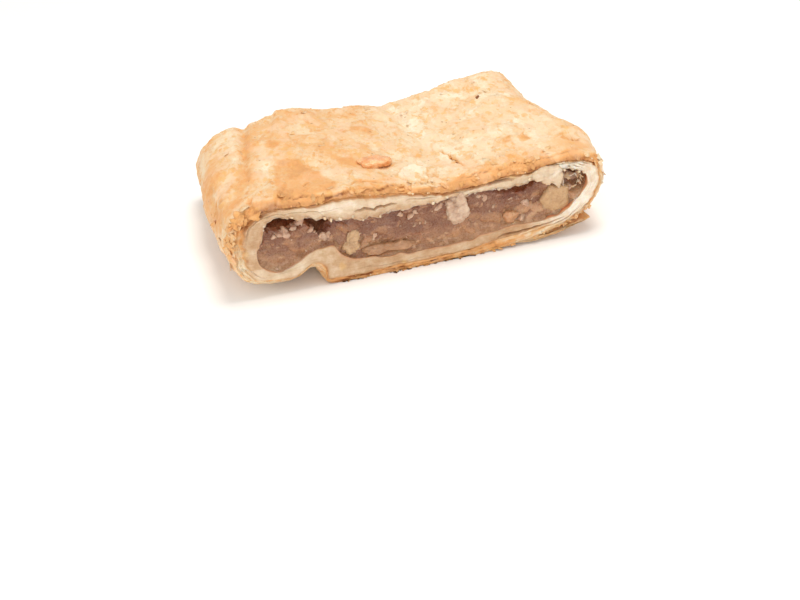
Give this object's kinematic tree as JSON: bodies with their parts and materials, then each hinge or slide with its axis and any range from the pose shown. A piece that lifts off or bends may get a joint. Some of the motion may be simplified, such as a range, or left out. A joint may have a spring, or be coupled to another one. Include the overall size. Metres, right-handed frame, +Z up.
{
  "type": "apple strudel slice",
  "caption": "Slice of a flat apple strudel roll: golden flaky pastry wrapped round a moist apple filling, cut straight at front and back, lying on its lapped base.",
  "frame": {"origin": "under the middle of the bounding box, on the surface that the slice lies on", "axes": "+X along the cut face to the right, +Y from the front cut to the back cut, +Z up"},
  "size_m": [0.1191, 0.0766, 0.0292],
  "materials": {
    "crust": "baked flaky puff pastry, satin golden crust, pale dough where cut",
    "filling": "moist cooked apple, taupe brown",
    "apple": "cooked diced apple, slightly translucent",
    "glazed_fruit": "caramelised fruit, glossy"
  },
  "bodies": {
    "root": {"pastry": "crust", "filling": "filling", "apple_dice_right": "apple", "apple_dice_pale": "apple", "apple_dice_low": "apple", "apple_dice_amber": "apple", "apple_slab": "apple", "apple_dice_back_1": "apple", "apple_dice_back_2": "apple", "apple_dice_back_3": "apple", "apple_dice_back_4": "apple", "glazed_fruit_bit": "glazed_fruit"}
  },
  "joints": []
}
